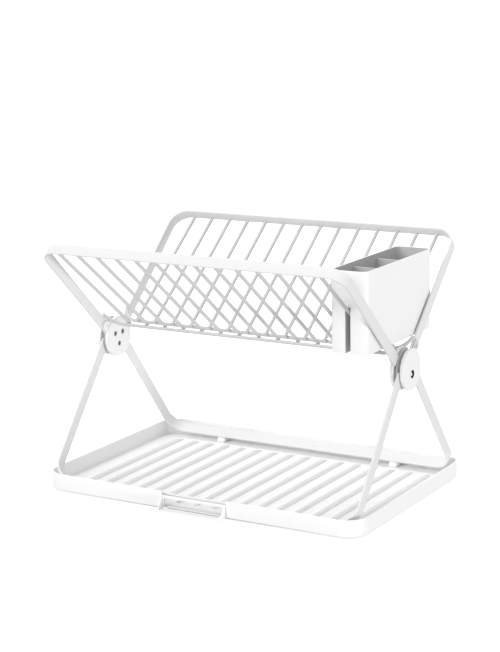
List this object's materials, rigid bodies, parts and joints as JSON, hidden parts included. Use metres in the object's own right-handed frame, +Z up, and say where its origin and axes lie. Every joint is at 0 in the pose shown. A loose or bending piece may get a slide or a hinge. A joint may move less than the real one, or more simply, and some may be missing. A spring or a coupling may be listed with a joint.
{
  "type": "dish drying rack",
  "caption": "Folding dish drying rack: slatted V racks on crossed leg frames with hinge discs, standing in a ribbed drip tray with a spout, and a cutlery caddy.",
  "frame": {"origin": "centre of the base, on the surface that the tray's feet stand on", "axes": "+Z up, +X along the rack to the right, towards the caddy, +Y to the back, away from the spout"},
  "size_m": [0.43, 0.312, 0.3104],
  "materials": {
    "tray_plastic": "satin moulded",
    "caddy_plastic": "satin moulded",
    "foot_rubber": "matte",
    "coated_strip": "powder coated",
    "coated_wire": "powder coated",
    "coated_plate": "powder coated",
    "coated_rivet": "powder coated",
    "disc_plastic": "satin moulded",
    "plain_steel": "zinc plated"
  },
  "bodies": {
    "tray": {"tray": "tray_plastic", "tray_feet": "foot_rubber"},
    "spout": {"spout": "tray_plastic"},
    "pivot": {"pivot_pin_left": "plain_steel", "pivot_pin_right": "plain_steel"},
    "front_rack": {"front_rack_frame": "coated_strip", "front_rod": "coated_wire", "back_leg_frame": "coated_strip", "inner_disc_left": "disc_plastic", "inner_disc_right": "disc_plastic", "disc_screws": "plain_steel", "front_arm_rivets": "coated_rivet", "front_slat_01": "coated_wire", "front_slat_02": "coated_wire", "front_slat_03": "coated_wire", "front_slat_04": "coated_wire", "front_slat_05": "coated_wire", "front_slat_06": "coated_wire", "front_slat_07": "coated_wire", "front_slat_08": "coated_wire", "front_slat_09": "coated_wire", "front_slat_10": "coated_wire", "front_slat_11": "coated_wire", "front_slat_12": "coated_wire", "front_slat_13": "coated_wire", "front_slat_14": "coated_wire"},
    "back_rack": {"back_rack_frame": "coated_strip", "back_rod": "coated_wire", "front_leg_frame": "coated_strip", "outer_disc_left": "disc_plastic", "outer_disc_right": "disc_plastic", "ring_plate_left": "coated_plate", "ring_plate_right": "coated_plate", "disc_rivets": "coated_rivet", "back_arm_rivets": "coated_rivet", "front_leg_rivets": "coated_rivet", "back_slat_01": "coated_wire", "back_slat_02": "coated_wire", "back_slat_03": "coated_wire", "back_slat_04": "coated_wire", "back_slat_05": "coated_wire", "back_slat_06": "coated_wire", "back_slat_07": "coated_wire", "back_slat_08": "coated_wire", "back_slat_09": "coated_wire", "back_slat_10": "coated_wire", "back_slat_11": "coated_wire", "back_slat_12": "coated_wire", "back_slat_13": "coated_wire", "back_slat_14": "coated_wire"},
    "caddy": {"caddy": "caddy_plastic"}
  },
  "joints": [
    {"name": "rack_lift", "type": "slide", "parent": "tray", "child": "pivot", "axis": [0, 0, 1], "range_m": [0, 0.19]},
    {"name": "front_rack_fold", "type": "hinge", "parent": "pivot", "child": "front_rack", "pos_m": [0, 0, 0.16802], "axis": [1, 0, 0], "range_deg": [0, 42]},
    {"name": "back_rack_fold", "type": "hinge", "parent": "pivot", "child": "back_rack", "pos_m": [0, 0, 0.16802], "axis": [1, 0, 0], "range_deg": [-42, 0]},
    {"name": "caddy_lift", "type": "slide", "parent": "pivot", "child": "caddy", "axis": [0, 0, 1], "range_m": [0, 0.12]},
    {"name": "spout_slide", "type": "slide", "parent": "tray", "child": "spout", "axis": [0, -1, 0], "range_m": [0, 0.03]}
  ],
  "couplings": [
    {"joint": "back_rack_fold", "follows": "front_rack_fold", "ratio": -1},
    {"joint": "rack_lift", "follows": "front_rack_fold", "m_per_rad": 0.25}
  ]
}
